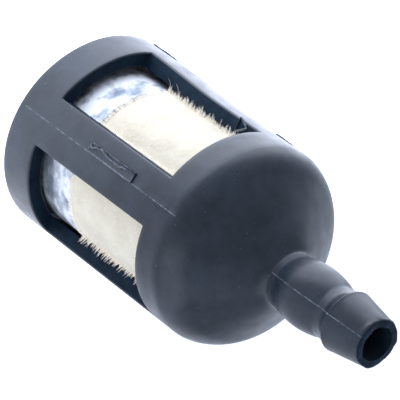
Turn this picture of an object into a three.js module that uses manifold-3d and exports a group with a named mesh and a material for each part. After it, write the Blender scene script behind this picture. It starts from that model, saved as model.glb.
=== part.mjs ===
// Weighted in-tank fuel filter for a small engine. A moulded nylon cage with four windows
// carries a felt sleeve on a slotted core, a steel weight in its rear end, and a hose barb
// on the dome at its front end. Millimetres; the axis is +Z, from the rear rim at Z = 0 to
// the tip of the barb. The windows face +X, +Y, -X and -Y, and the ribs stand between them.
import * as THREE from "three";
import { mergeVertices } from "three/addons/utils/BufferGeometryUtils.js";
import Module from "manifold-3d";

const wasm = await Module();
wasm.setup();

// Clearance between faces that touch or nest, and the length by which a cutter overshoots.
const clearance = 0.3;
const overshoot = 1;

// Cage: rear ring, ribs and windows, front ring.
const bodyDiameter = 17.5;
const cageWall = 1.3;
const rearRingHeight = 3.75;
const windowLength = 14.85;
const frontRingHeight = 2.6;
const ribWidth = 4.4;
const ribCount = 4;
const rimChamfer = 0.25;
const lipHeight = 0.6;
const lipWidth = 0.6;

// Dome: a round shoulder, which leaves the front ring at a slight edge, runs into a straight
// cone up to the neck.
const domeHeight = 5.55;
const shoulderRadius = 4;
const shoulderEdgeAngle = THREE.MathUtils.degToRad(12);
const domeBaseWidth = 0.45;
const seatWidth = 1.55;
const seatInset = 2.25;

// Barb: neck, rounded bead, waist, sharp ridge and lead-in cone, with a straight bore.
const neckRadius = 2.42;
const neckFilletHeight = 0.35;
const neckLength = 0.9;
const beadLength = 4.85;
const beadBulge = 0.36;
const waistRadius = 2.28;
const waistLength = 0.3;
const ridgeRadius = 2.62;
const ridgeRise = 1.25;
const coneLength = 3.65;
const tipRadius = 2.07;
const tipChamfer = 0.15;
const boreRadius = 1.45;

// Raised marking pad, along one edge of the mould parting line on one rib.
const padLength = 5.9;
const padWidth = 0.9;
const padHeight = 0.15;
const padStart = 9.6;

// Steel weight: slug, chamfers and the spigot that carries the core.
const weightLength = 6.55;
const weightChamfer = 0.35;
const spigotRadius = 1.9;
const spigotLength = 5;

// Slotted core, with a flange that closes the front end of the felt, and its socket.
const coreWall = 0.7;
const flangeThickness = 0.8;
const slotWidth = 1.6;
const slotBridge = 1.2;
const slotRows = 2;
const slotsPerRow = 4;
const socketWall = 1.2;
const socketDepth = 2.4;

// Fine screen round the core.
const screenWall = 0.2;

// Facets round the axis, and steps along an arc.
const cageFacets = 48;
const coreFacets = 32;
const arcSteps = 8;

// Sizes that follow from the ones above.
const bodyRadius = bodyDiameter / 2;
const cageInner = bodyRadius - cageWall;
const windowEnd = rearRingHeight + windowLength;
const shoulderZ = windowEnd + frontRingHeight;
const domeTopZ = shoulderZ + domeHeight;
const domeTopRadius = neckRadius + domeBaseWidth;
const neckZ = domeTopZ + neckFilletHeight;
const beadStartZ = neckZ + neckLength;
const beadEndZ = beadStartZ + beadLength;
const ridgeZ = beadEndZ + waistLength + ridgeRise;
const tipZ = ridgeZ + coneLength;
const seatZ = windowEnd + seatInset;
const seatInner = cageInner - seatWidth;
const slugRadius = cageInner - clearance;
const slugRearZ = lipHeight + clearance;
const slugFrontZ = slugRearZ + weightLength;
const coreInner = spigotRadius + clearance;
const coreOuter = coreInner + coreWall;
const coreRearZ = slugFrontZ + clearance;
const flangeFrontZ = seatZ - clearance;
const flangeRearZ = flangeFrontZ - flangeThickness;
const screenInner = coreOuter + clearance;
const screenOuter = screenInner + screenWall;
const feltInner = screenOuter + clearance;
const feltOuter = cageInner - clearance;
const socketInner = coreOuter + clearance;
const socketOuter = socketInner + socketWall;

// The shoulder's arc starts at the top edge of the front ring, and turns until its tangent
// meets the edge at the top of the dome.
const shoulderStart = new THREE.Vector2(Math.cos(shoulderEdgeAngle), Math.sin(shoulderEdgeAngle));
const shoulderCentre = new THREE.Vector2(bodyRadius, shoulderZ).addScaledVector(shoulderStart, -shoulderRadius);
const domeReach = new THREE.Vector2(domeTopRadius, domeTopZ).sub(shoulderCentre);
const shoulderTurn = domeReach.angle() - Math.acos(shoulderRadius / domeReach.length());

// A point on the shoulder's arc, or on an arc inset from it.
function shoulderPoint(turn, inset) {
  const reach = shoulderRadius - inset;
  return new THREE.Vector2(reach * Math.cos(turn), reach * Math.sin(turn)).add(shoulderCentre);
}

// The height of the dome at one radius, for its outside or for a surface inset from it.
function domeHeightAt(radius, inset) {
  const tangent = shoulderPoint(shoulderTurn, inset);
  if (radius < tangent.x) {
    return tangent.y + (tangent.x - radius) / Math.tan(shoulderTurn);
  }
  return shoulderCentre.y + Math.sqrt((shoulderRadius - inset) ** 2 - (radius - shoulderCentre.x) ** 2);
}

const socketTopZ = domeHeightAt(socketInner, cageWall);
const socketMouthZ = socketTopZ - socketDepth;
const coreFrontZ = socketTopZ - clearance;

// Points up the outside of the dome, from the front ring to the edge at its top.
function domeOutside() {
  const points = [];
  for (let step = 0; step <= arcSteps; step += 1) {
    const turn = shoulderEdgeAngle + ((shoulderTurn - shoulderEdgeAngle) * step) / arcSteps;
    points.push(shoulderPoint(turn, 0));
  }
  points.push(corner(domeTopRadius, domeTopZ));
  return points;
}

// Points down the inside of the dome, from the socket to the seat.
function domeInside() {
  const points = [];
  for (let step = 0; step <= arcSteps; step += 1) {
    const radius = socketOuter + ((seatInner - socketOuter) * step) / arcSteps;
    points.push(corner(radius, domeHeightAt(radius, cageWall)));
  }
  return points;
}

// Points along an arc that stands out from the line between two points by a bulge.
function bulgedPoints(start, end, bulge) {
  const chord = end.clone().sub(start);
  const outward = new THREE.Vector2(chord.y, -chord.x).normalize();
  const radius = (chord.lengthSq() / 4 + bulge ** 2) / (2 * bulge);
  const centre = start.clone().add(end).multiplyScalar(0.5);
  centre.addScaledVector(outward, bulge - radius);
  const halfAngle = Math.asin(chord.length() / (2 * radius));
  const middle = outward.angle();
  const points = [];
  for (let step = 1; step < arcSteps; step += 1) {
    const angle = middle - halfAngle + (2 * halfAngle * step) / arcSteps;
    points.push(new THREE.Vector2(Math.cos(angle), Math.sin(angle)).multiplyScalar(radius).add(centre));
  }
  return points;
}

// A solid of revolution about Z. The outline runs anticlockwise in radius and height, and it
// starts and ends on the axis or, with closed set, returns to its first point.
function revolve(outline, facets, closed) {
  const points = closed ? [...outline, outline[0].clone()] : outline;
  const geometry = new THREE.LatheGeometry(points, facets);
  geometry.rotateX(Math.PI / 2);
  return toSolid(geometry);
}

function corner(radius, height) {
  return new THREE.Vector2(radius, height);
}

// A tube with square ends, open along its bore.
function tube(inner, outer, low, high, facets) {
  return revolve([corner(inner, low), corner(outer, low), corner(outer, high), corner(inner, high)], facets, true);
}

// A box between two corners, turned about the Z axis.
function turnedBox(low, high, angle) {
  const size = high.clone().sub(low);
  const geometry = new THREE.BoxGeometry(size.x, size.y, size.z);
  geometry.translate((low.x + high.x) / 2, (low.y + high.y) / 2, (low.z + high.z) / 2);
  geometry.rotateZ(angle);
  return toSolid(geometry);
}

function toSolid(geometry) {
  geometry.deleteAttribute("normal");
  geometry.deleteAttribute("uv");
  const merged = mergeVertices(geometry);
  const corners = merged.index.array;
  const kept = [];
  for (let first = 0; first < corners.length; first += 3) {
    const [a, b, c] = corners.slice(first, first + 3);
    if (a !== b && b !== c && c !== a) {
      kept.push(a, b, c);
    }
  }
  const vertProperties = merged.attributes.position.array;
  return new wasm.Manifold(new wasm.Mesh({ numProp: 3, vertProperties, triVerts: new Uint32Array(kept) }));
}

function toMesh(name, solid, material) {
  const { vertProperties, triVerts } = solid.getMesh();
  const geometry = new THREE.BufferGeometry();
  geometry.setAttribute("position", new THREE.BufferAttribute(vertProperties, 3));
  geometry.setIndex(new THREE.BufferAttribute(triVerts, 1));
  geometry.computeVertexNormals();
  const mesh = new THREE.Mesh(geometry, material);
  mesh.name = name;
  return mesh;
}

// The cage's walls, dome and barb in one outline: up the outside and down the inside.
function cageOutline() {
  const beadStart = corner(neckRadius, beadStartZ);
  const beadEnd = corner(waistRadius, beadEndZ);
  return [
    corner(bodyRadius - rimChamfer, 0),
    corner(bodyRadius, rimChamfer),
    ...domeOutside(),
    corner(neckRadius + domeBaseWidth / 4, neckZ - neckFilletHeight / 2),
    corner(neckRadius, neckZ),
    beadStart,
    ...bulgedPoints(beadStart, beadEnd, beadBulge),
    beadEnd,
    corner(waistRadius, beadEndZ + waistLength),
    corner(ridgeRadius, ridgeZ),
    corner(tipRadius, tipZ - tipChamfer),
    corner(tipRadius - tipChamfer, tipZ),
    corner(boreRadius, tipZ),
    corner(boreRadius, socketTopZ),
    corner(socketInner, socketTopZ),
    corner(socketInner, socketMouthZ),
    corner(socketOuter, socketMouthZ),
    ...domeInside(),
    corner(seatInner, seatZ),
    corner(cageInner, seatZ),
    corner(cageInner, lipHeight),
    corner(cageInner - lipWidth, lipHeight),
    corner(cageInner - lipWidth, 0),
  ];
}

// The direction of the rib that carries the marking pad, and the turn from rib to rib.
const ribTurn = (2 * Math.PI) / ribCount;
const padRibAngle = ribTurn / 2;

// One rib's two faces are parallel, so each window is a box whose two sides run radially
// beside the ribs.
function cutWindows(cage) {
  const near = new THREE.Vector3(ribWidth / 2, ribWidth / 2, rearRingHeight);
  const far = new THREE.Vector3(bodyRadius + overshoot, bodyRadius + overshoot, windowEnd);
  let cut = cage;
  for (let index = 0; index < ribCount; index += 1) {
    cut = cut.subtract(turnedBox(near, far, padRibAngle + index * ribTurn));
  }
  return cut;
}

function addPad(cage) {
  const low = new THREE.Vector3(bodyRadius - cageWall / 2, -padWidth, padStart);
  const high = new THREE.Vector3(bodyRadius + padHeight, 0, padStart + padLength);
  return cage.add(turnedBox(low, high, padRibAngle));
}

function cageHousing() {
  return addPad(cutWindows(revolve(cageOutline(), cageFacets, true)));
}

function ballastWeight() {
  const outline = [
    corner(0, slugRearZ),
    corner(slugRadius - weightChamfer, slugRearZ),
    corner(slugRadius, slugRearZ + weightChamfer),
    corner(slugRadius, slugFrontZ),
    corner(spigotRadius, slugFrontZ),
    corner(spigotRadius, slugFrontZ + spigotLength - weightChamfer),
    corner(spigotRadius - weightChamfer, slugFrontZ + spigotLength),
    corner(0, slugFrontZ + spigotLength),
  ];
  return revolve(outline, cageFacets, false);
}

function feltSleeve() {
  return tube(feltInner, feltOuter, slugFrontZ + clearance, flangeRearZ - clearance, cageFacets);
}

function meshScreen() {
  return tube(screenInner, screenOuter, slugFrontZ + clearance, flangeRearZ - clearance, coreFacets);
}

// The core's outside steps out to the flange and back in to the outlet tube.
function supportCore() {
  const outline = [
    corner(coreInner, coreRearZ),
    corner(coreOuter, coreRearZ),
    corner(coreOuter, flangeRearZ),
    corner(feltOuter, flangeRearZ),
    corner(feltOuter, flangeFrontZ),
    corner(coreOuter, flangeFrontZ),
    corner(coreOuter, coreFrontZ),
    corner(coreInner, coreFrontZ),
  ];
  return cutSlots(revolve(outline, coreFacets, true));
}

function cutSlots(core) {
  const slotPitch = (flangeRearZ - coreRearZ - slotBridge) / slotRows;
  let cut = core;
  for (let row = 0; row < slotRows; row += 1) {
    const low = coreRearZ + slotBridge + row * slotPitch;
    for (let index = 0; index < slotsPerRow; index += 1) {
      const near = new THREE.Vector3(coreInner / 2, -slotWidth / 2, low);
      const far = new THREE.Vector3(coreOuter + overshoot, slotWidth / 2, low + slotPitch - slotBridge);
      cut = cut.subtract(turnedBox(near, far, (index * 2 * Math.PI) / slotsPerRow));
    }
  }
  return cut;
}

const nylon = new THREE.MeshStandardMaterial({ color: 0x3b4049, roughness: 0.5, metalness: 0 });
const felt = new THREE.MeshStandardMaterial({ color: 0xebe6d6, roughness: 1, metalness: 0 });
const platedSteel = new THREE.MeshStandardMaterial({ color: 0xb8bfc6, roughness: 0.4, metalness: 1 });
const naturalNylon = new THREE.MeshStandardMaterial({ color: 0xdcd8ca, roughness: 0.5, metalness: 0 });
const screenCloth = new THREE.MeshStandardMaterial({ color: 0xc9cdd0, roughness: 0.6, metalness: 0 });

const filter = new THREE.Group();
filter.add(toMesh("cage_housing", cageHousing(), nylon));
filter.add(toMesh("ballast_weight", ballastWeight(), platedSteel));
filter.add(toMesh("support_core", supportCore(), naturalNylon));
filter.add(toMesh("mesh_screen", meshScreen(), screenCloth));
filter.add(toMesh("felt_sleeve", feltSleeve(), felt));

export default filter;
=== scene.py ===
"""Looks of a weighted in-tank fuel filter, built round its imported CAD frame.

The moulded nylon cage, the felt sleeve and the steel weight are modelled here at a finer grain
than the CAD solids they stand for. Lengths are in metres, as in the frame.
"""

import math
import random

import bmesh
import bpy
from bpy.props import FloatProperty, FloatVectorProperty, IntProperty, PointerProperty
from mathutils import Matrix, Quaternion, Vector


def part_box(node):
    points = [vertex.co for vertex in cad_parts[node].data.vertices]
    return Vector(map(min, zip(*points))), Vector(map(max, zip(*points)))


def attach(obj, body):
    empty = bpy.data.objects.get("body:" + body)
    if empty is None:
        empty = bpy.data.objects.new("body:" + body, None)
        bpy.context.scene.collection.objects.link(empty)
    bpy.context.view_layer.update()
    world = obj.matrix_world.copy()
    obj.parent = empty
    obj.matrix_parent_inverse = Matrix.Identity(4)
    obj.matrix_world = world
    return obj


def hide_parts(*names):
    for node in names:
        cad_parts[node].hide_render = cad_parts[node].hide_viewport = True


bl_info = {
    "name": "Fuel Filter Builder",
    "version": (1, 0, 0),
    "blender": (4, 5, 0),
    "location": "View3D > Sidebar > Fuel Filter",
    "description": "Models and finishes a moulded in-tank fuel filter round its CAD frame",
    "category": "Object",
}

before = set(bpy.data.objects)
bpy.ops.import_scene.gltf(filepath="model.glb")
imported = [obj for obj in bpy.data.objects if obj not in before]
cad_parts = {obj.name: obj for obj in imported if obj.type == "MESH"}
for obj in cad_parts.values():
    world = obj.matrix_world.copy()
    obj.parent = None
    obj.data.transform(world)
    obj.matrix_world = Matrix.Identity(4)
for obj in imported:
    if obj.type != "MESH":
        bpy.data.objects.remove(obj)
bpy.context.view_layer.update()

MM = 0.001
TURN = 2 * math.pi
BODY = "root"
RIB_COUNT = 4
RIB_PITCH = TURN / RIB_COUNT
FIRST_RIB = RIB_PITCH / 2
# The CAD solids keep this gap between faces that touch on the real filter.
CLEARANCE = 0.3 * MM
# Places closer than TINY count as the same, and vertices closer than WELD are merged.
TINY = 0.005 * MM
WELD = 0.001 * MM
# A face looks outwards when its normal has at least this share away from the axis.
OUTWARD = 0.2
# The shoulder leaves the front ring at a soft edge of this many degrees.
SHOULDER_EDGE = 12
# The cage's material slots after the first, which is the charcoal nylon: the nylon with painted shade
# for the windows, and the nylon with a pale painted highlight for flash and ridges.
PAINTED_SHADE_SLOT = 1
PAINTED_HIGHLIGHT_SLOT = 2
# How far a loose fibre's root stands proud of the felt: less than nothing, as it is sunk in it.
ROOT = -0.03 * MM

CAGE_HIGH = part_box("cage_housing")[1]
WEIGHT_LOW, WEIGHT_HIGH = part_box("ballast_weight")
FELT_LOW, FELT_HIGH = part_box("felt_sleeve")

NOISE = "ShaderNodeTexNoise"
RAMP = "ShaderNodeValToRGB"
BUMP = "ShaderNodeBump"
MAPPING = "ShaderNodeMapping"
PRINCIPLED = "ShaderNodeBsdfPrincipled"
OUTPUT = "ShaderNodeOutputMaterial"


# ---------------------------------------------------------------- colours and materials

def srgb(code):
    """Turns an sRGB hex colour into linear red, green, blue and alpha."""
    channels = [int(code[i : i + 2], 16) / 255 for i in (1, 3, 5)]
    linear = [c / 12.92 if c <= 0.04045 else ((c + 0.055) / 1.055) ** 2.4 for c in channels]
    return (*linear, 1.0)


def grey(value):
    """A linear grey, for ramps that drive a number."""
    return (value, value, value, 1.0)


def node(tree, kind, settings=None, links=None):
    """Adds a node, sets its properties, socket values and ramp stops, and links its inputs.

    A link comes from a socket, or from a node whose first output is meant.
    """
    made = tree.nodes.new(kind)
    for key, value in (settings or {}).items():
        if key == "stops":
            elements = made.color_ramp.elements
            while len(elements) < len(value):
                elements.new(0.5)
            for element, (place, colour) in zip(elements, value):
                element.position = place
                element.color = colour
        elif isinstance(key, str) and key not in made.inputs:
            setattr(made, key, value)
        else:
            made.inputs[key].default_value = value
    for key, source in (links or {}).items():
        socket = source if isinstance(source, bpy.types.NodeSocket) else source.outputs[0]
        tree.links.new(socket, made.inputs[key])
    return made


def new_material(name):
    """Starts an empty node material and gives its tree and the object's own coordinates."""
    material = bpy.data.materials.new(name)
    material.use_nodes = True
    tree = material.node_tree
    tree.nodes.clear()
    place = node(tree, "ShaderNodeTexCoord").outputs["Object"]
    return material, tree, place


def charcoal_nylon(finishes):
    """Injection-moulded glass-filled nylon: satin, blue-black, with a faint mould grain and dust."""
    material, tree, place = new_material("charcoal_moulded_nylon")
    at = {"Vector": place}
    clouds = node(tree, NOISE, {"Scale": 1 / (2.6 * MM), "Detail": 5, "Roughness": 0.62}, at)
    stops = [(0.38, finishes.nylon_dark), (0.64, finishes.nylon_light)]
    clouded = node(tree, RAMP, {"stops": stops}, {"Fac": clouds})
    # Rare pale specks are glass fibre ends and dust, drawn a little coarse so that they show.
    specks = node(tree, NOISE, {"Scale": 1 / (0.16 * MM), "Detail": 1}, at)
    rare = node(tree, RAMP, {"stops": [(0.76, grey(0)), (0.79, grey(1))]}, {"Fac": specks})
    mix = {"data_type": "RGBA", 7: finishes.nylon_speck}
    colour = node(tree, "ShaderNodeMix", mix, {0: rare, 6: clouded}).outputs[2]
    handling = node(tree, NOISE, {"Scale": 1 / (1.7 * MM), "Detail": 5, "Roughness": 0.6}, at)
    satin = node(tree, RAMP, {"stops": [(0.3, grey(0.26)), (0.7, grey(0.42))]}, {"Fac": handling})
    # The melt's flow leaves soft waves, and the mould's steel a fine grain.
    waves = node(tree, NOISE, {"Scale": 1 / (1.6 * MM), "Detail": 3}, at)
    flow = node(tree, BUMP, {"Distance": 0.03 * MM, "Strength": 0.4}, {"Height": waves})
    grit = node(tree, NOISE, {"Scale": 1 / (0.2 * MM), "Detail": 1}, at)
    grain = node(
        tree, BUMP, {"Distance": 0.004 * MM, "Strength": 0.5}, {"Height": grit, "Normal": flow}
    )
    links = {"Base Color": colour, "Roughness": satin, "Normal": grain}
    shader = node(tree, PRINCIPLED, {"IOR": 1.53}, links)
    node(tree, OUTPUT, links={"Surface": shader})
    return material


def nylon_with_painted_window_shade(finishes):
    """The same nylon with painted shade: deep in the windows its colour is darkened near black and its
    reflection weakened for the shade there.
    """
    material, tree, place = new_material("painted_shade_nylon_in_windows")
    at = {"Vector": place}
    clouds = node(tree, NOISE, {"Scale": 1 / (0.8 * MM), "Detail": 3}, at)
    stops = [(0.3, finishes.nylon_shade_paint_dark), (0.7, finishes.nylon_shade_paint)]
    colour = node(tree, RAMP, {"stops": stops}, {"Fac": clouds})
    grit = node(tree, NOISE, {"Scale": 1 / (0.14 * MM), "Detail": 3}, at)
    grain = node(tree, BUMP, {"Distance": 0.008 * MM, "Strength": 0.5}, {"Height": grit})
    values = {"Roughness": 0.6, "IOR": 1.53, "Specular IOR Level": 0.08}
    shader = node(tree, PRINCIPLED, values, {"Base Color": colour, "Normal": grain})
    node(tree, OUTPUT, links={"Surface": shader})
    return material


def nylon_with_painted_highlight(finishes):
    """Nylon flash and ridges with a painted highlight: pale here and there where they stand proud, for
    the light that they catch.
    """
    material, tree, place = new_material("painted_highlight_nylon_ridges")
    settings = {"Scale": 1 / (0.7 * MM), "Detail": 4, "Roughness": 0.65}
    patches = node(tree, NOISE, settings, {"Vector": place})
    stops = [(0.42, finishes.nylon_light), (0.6, finishes.nylon_highlight_paint)]
    colour = node(tree, RAMP, {"stops": stops}, {"Fac": patches})
    shader = node(tree, PRINCIPLED, {"Roughness": 0.4, "IOR": 1.53}, {"Base Color": colour})
    node(tree, OUTPUT, links={"Surface": shader})
    return material


def cream_felt(finishes):
    """Pressed wool felt: matte and fuzzy, cream with faint darker pockets between its fibres."""
    material, tree, place = new_material("cream_wool_felt")
    at = {"Vector": place}
    clouds = node(tree, NOISE, {"Scale": 1 / (2.4 * MM), "Detail": 4, "Roughness": 0.6}, at)
    stops = [(0.3, finishes.felt_shade), (0.62, finishes.felt_cream)]
    colour = node(tree, RAMP, {"stops": stops}, {"Fac": clouds})
    tufts = node(tree, NOISE, {"Scale": 1 / (0.6 * MM), "Detail": 4, "Roughness": 0.7}, at)
    fluff = node(tree, BUMP, {"Distance": 0.06 * MM, "Strength": 0.3}, {"Height": tufts})
    # Wool fibres are about 0.03 mm thick, drawn here at 0.12 mm so that the mat shows.
    mat = node(tree, NOISE, {"Scale": 1 / (0.12 * MM), "Detail": 5, "Roughness": 0.7}, at)
    fibres = node(
        tree, BUMP, {"Distance": 0.03 * MM, "Strength": 0.4}, {"Height": mat, "Normal": fluff}
    )
    values = {"Roughness": 0.95, "IOR": 1.54, "Sheen Weight": 0.35, "Sheen Roughness": 0.6}
    shader = node(tree, PRINCIPLED, values, {"Base Color": colour, "Normal": fibres})
    node(tree, OUTPUT, links={"Surface": shader})
    return material


def wool_fibre(finishes):
    """Single wool fibres: nearly white and thin, lit through by subsurface scattering and brightened by
    a faint painted glow.
    """
    material, tree, place = new_material("loose_wool_fibre_with_painted_glow")
    patches = node(tree, NOISE, {"Scale": 1 / (0.5 * MM), "Detail": 3}, {"Vector": place})
    stops = [(0.2, finishes.felt_cream), (0.5, finishes.fibre)]
    colour = node(tree, RAMP, {"stops": stops}, {"Fac": patches})
    values = {
        "Roughness": 0.8,
        "IOR": 1.54,
        "Subsurface Weight": 1.0,
        "Subsurface Radius": (1.0, 0.95, 0.85),
        "Subsurface Scale": 0.3 * MM,
        # The emission is painted glow, standing in for the light that thin fibres scatter.
        "Emission Strength": 0.17,
    }
    shader = node(tree, PRINCIPLED, values, {"Base Color": colour, "Emission Color": colour})
    node(tree, OUTPUT, links={"Surface": shader})
    return material


def plated_steel(finishes):
    """Bright zinc plating on a turned steel slug: mottled crystals over faint turning lines."""
    material, tree, place = new_material("bright_zinc_plate_on_turned_steel")
    streaked = node(tree, MAPPING, {"Scale": (0.8, 0.8, 1.1)}, {"Vector": place})
    mottle = node(
        tree,
        NOISE,
        {"Scale": 1 / (1.5 * MM), "Detail": 4, "Roughness": 0.55},
        {"Vector": streaked},
    )
    stops = [(0.36, finishes.zinc_dark), (0.47, finishes.zinc_mid), (0.58, finishes.zinc_bright)]
    colour = node(tree, RAMP, {"stops": stops}, {"Fac": mottle})
    patches = node(
        tree, NOISE, {"Scale": 1 / (0.7 * MM), "Detail": 5, "Roughness": 0.7}, {"Vector": place}
    )
    dull = node(tree, RAMP, {"stops": [(0.3, grey(0.55)), (0.7, grey(0.75))]}, {"Fac": patches})
    swells = node(tree, NOISE, {"Scale": 1 / (0.9 * MM), "Detail": 3}, {"Vector": place})
    waves = node(tree, BUMP, {"Distance": 0.03 * MM, "Strength": 0.4}, {"Height": swells})
    # A lathe's feed leaves lines at 0.1 mm or less, drawn here at 0.25 mm so that they show.
    feed = node(tree, NOISE, {"Scale": 1 / (0.25 * MM), "Detail": 4}, {"Vector": streaked})
    lines = node(
        tree, BUMP, {"Distance": 0.01 * MM, "Strength": 0.4}, {"Height": feed, "Normal": waves}
    )
    links = {"Base Color": colour, "Roughness": dull, "Normal": lines}
    shader = node(tree, PRINCIPLED, {"Metallic": 1.0}, links)
    node(tree, OUTPUT, links={"Surface": shader})
    return material


def natural_nylon(finishes):
    """Unfilled natural nylon, injection moulded: milky, satin and slightly uneven."""
    material, tree, place = new_material("natural_moulded_nylon")
    at = {"Vector": place}
    clouds = node(tree, NOISE, {"Scale": 1 / (2 * MM), "Detail": 3}, at)
    stops = [(0.3, finishes.core_shade), (0.7, finishes.core_light)]
    colour = node(tree, RAMP, {"stops": stops}, {"Fac": clouds})
    grit = node(tree, NOISE, {"Scale": 1 / (0.15 * MM), "Detail": 3}, at)
    grain = node(tree, BUMP, {"Distance": 0.005 * MM, "Strength": 0.5}, {"Height": grit})
    values = {"Roughness": 0.42, "IOR": 1.53}
    shader = node(tree, PRINCIPLED, values, {"Base Color": colour, "Normal": grain})
    node(tree, OUTPUT, links={"Surface": shader})
    return material


def screen_cloth(finishes):
    """Fine woven nylon screen: a square weave of pale threads, 0.2 mm from thread to thread, with
    painted shade in the darker gaps between them.
    """
    material, tree, place = new_material("woven_nylon_screen")
    # A wave texture turns by 20 radians in each unit of length at scale 1.
    scale = TURN / 20 / (0.198 * MM)
    along, across = (
        node(
            tree,
            "ShaderNodeTexWave",
            {"bands_direction": direction, "Scale": scale},
            {"Vector": place},
        ).outputs["Fac"]
        for direction in "ZX"
    )
    weave = node(tree, "ShaderNodeMath", {"operation": "MAXIMUM"}, {0: along, 1: across})
    stops = [(0.2, finishes.screen_gap_painted_shade), (0.8, finishes.screen_thread)]
    colour = node(tree, RAMP, {"stops": stops}, {"Fac": weave})
    raised = node(tree, BUMP, {"Distance": 0.05 * MM, "Strength": 1.0}, {"Height": weave})
    values = {"Roughness": 0.5, "IOR": 1.53}
    shader = node(tree, PRINCIPLED, values, {"Base Color": colour, "Normal": raised})
    node(tree, OUTPUT, links={"Surface": shader})
    return material


# ---------------------------------------------------------------- modelling helpers

def pick(obj):
    """Leaves one object selected and active."""
    bpy.ops.object.select_all(action="DESELECT")
    obj.select_set(True)
    bpy.context.view_layer.objects.active = obj


def edit_mode(obj):
    """Opens one object for editing."""
    pick(obj)
    bpy.ops.object.mode_set(mode="EDIT")


def object_mode():
    """Closes the object that is open for editing."""
    bpy.ops.object.mode_set(mode="OBJECT")


def middle(item):
    """The middle of an edge or face."""
    if isinstance(item, bmesh.types.BMFace):
        return item.calc_center_median()
    return (item.verts[0].co + item.verts[1].co) / 2


def reach(co):
    """The distance of a place from the filter's axis."""
    return math.hypot(co.x, co.y)


def away(co):
    """The unit vector that points from the axis to a place."""
    return Vector((co.x, co.y, 0)).normalized()


def rib_turn(co):
    """The angle of a place from the middle of its nearest rib."""
    angle = math.atan2(co.y, co.x) - FIRST_RIB
    return (angle + RIB_PITCH / 2) % RIB_PITCH - RIB_PITCH / 2


def select(obj, kind, test):
    """In edit mode, selects the vertices, edges or faces that pass a test."""
    bpy.ops.mesh.select_mode(type=kind)
    bpy.ops.mesh.select_all(action="DESELECT")
    mesh = bmesh.from_edit_mesh(obj.data)
    chosen = {"VERT": mesh.verts, "EDGE": mesh.edges, "FACE": mesh.faces}[kind]
    for item in chosen:
        if test(item):
            item.select_set(True)
    bmesh.update_edit_mesh(obj.data)


def turn_selected(angle):
    """Turns the selection about the filter's axis; with no window, rotate takes the angle backwards."""
    bpy.ops.transform.rotate(value=-angle, orient_axis="Z", center_override=(0, 0, 0))


def name_selected(obj, name):
    """Puts the selected vertices in a new vertex group."""
    group = obj.vertex_groups.new(name=name)
    obj.vertex_groups.active_index = group.index
    bpy.context.scene.tool_settings.vertex_group_weight = 1.0
    bpy.ops.object.vertex_group_assign()


def paint(obj, index, test):
    """Gives the faces that pass a test the material of one slot."""
    select(obj, "FACE", test)
    obj.active_material_index = index
    bpy.ops.object.material_slot_assign()


def apply_modifier(obj, name, kind, **settings):
    """Adds a modifier with its settings and applies it."""
    pick(obj)
    modifier = obj.modifiers.new(name, kind)
    for key, value in settings.items():
        setattr(modifier, key, value)
    bpy.ops.object.modifier_apply(modifier=name)


def ruffle(obj, name, grain, depth, group="", direction="NORMAL", level=0.5):
    """Moves the surface in and out by a cloud pattern of a real grain and depth."""
    texture = bpy.data.textures.new(name, "CLOUDS")
    texture.noise_scale = grain
    texture.noise_depth = 2
    apply_modifier(
        obj,
        name,
        "DISPLACE",
        texture=texture,
        strength=depth,
        mid_level=level,
        vertex_group=group,
        direction=direction,
        texture_coords="LOCAL",
    )


def arc(centre, radius, start, end, steps):
    """Points on an arc in the plane of radius and height, from one angle in degrees to another."""
    angles = [math.radians(start + (end - start) * step / steps) for step in range(steps + 1)]
    return [(centre[0] + radius * math.cos(a), centre[1] + radius * math.sin(a)) for a in angles]


def straight(start, end, steps):
    """Points along a straight line, without its first point."""
    return [
        (start[0] + (end[0] - start[0]) * step / steps, start[1] + (end[1] - start[1]) * step / steps)
        for step in range(1, steps + 1)
    ]


def straights(start, *legs):
    """Points along straight lines from a start, each to an end in a number of steps."""
    points = []
    for end, steps in legs:
        points += straight(points[-1] if points else start, end, steps)
    return points


def bulged(start, end, bulge, steps):
    """Points along an arc that stands out from a line by a bulge, without its first point."""
    first, last = Vector(start), Vector(end)
    chord = last - first
    outward = Vector((chord.y, -chord.x)).normalized()
    points = []
    for step in range(1, steps + 1):
        share = step / steps
        point = first + chord * share + outward * bulge * (1 - (2 * share - 1) ** 2)
        points.append((point.x, point.y))
    return points


def eased(start, corner, end, steps):
    """Points along a smooth curve that rounds off a corner, without its first point."""
    points = []
    for step in range(1, steps + 1):
        share = step / steps
        near, between, far = (1 - share) ** 2, 2 * share * (1 - share), share**2
        points.append(tuple(near * a + between * b + far * c for a, b, c in zip(start, corner, end)))
    return points


def revolve(name, outline, columns, start_angle=0.0):
    """Draws an outline by extruding one vertex from point to point, and spins it round Z."""
    bpy.ops.object.select_all(action="DESELECT")
    bpy.ops.mesh.primitive_plane_add(size=MM)
    obj = bpy.context.object
    obj.name = obj.data.name = name
    edit_mode(obj)
    bpy.ops.mesh.select_mode(type="VERT")
    bpy.ops.mesh.select_all(action="SELECT")
    bpy.ops.mesh.merge(type="CENTER")
    turned = [
        Vector((r * math.cos(start_angle), r * math.sin(start_angle), z)) for r, z in outline
    ]
    bpy.ops.transform.translate(value=turned[0])
    for before, after in zip(turned, turned[1:]):
        bpy.ops.mesh.extrude_region_move(TRANSFORM_OT_translate={"value": after - before})
    bpy.ops.mesh.select_all(action="SELECT")
    bpy.ops.mesh.remove_doubles(threshold=WELD)
    bpy.ops.mesh.spin(steps=columns, angle=TURN, center=(0, 0, 0), axis=(0, 0, 1))
    bpy.ops.mesh.select_all(action="SELECT")
    bpy.ops.mesh.remove_doubles(threshold=WELD)
    bpy.ops.mesh.normals_make_consistent(inside=False)
    object_mode()
    return obj


def dress(obj, *materials):
    """Fills an object's material slots in order."""
    obj.data.materials.clear()
    for material in materials:
        obj.data.materials.append(material)


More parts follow.
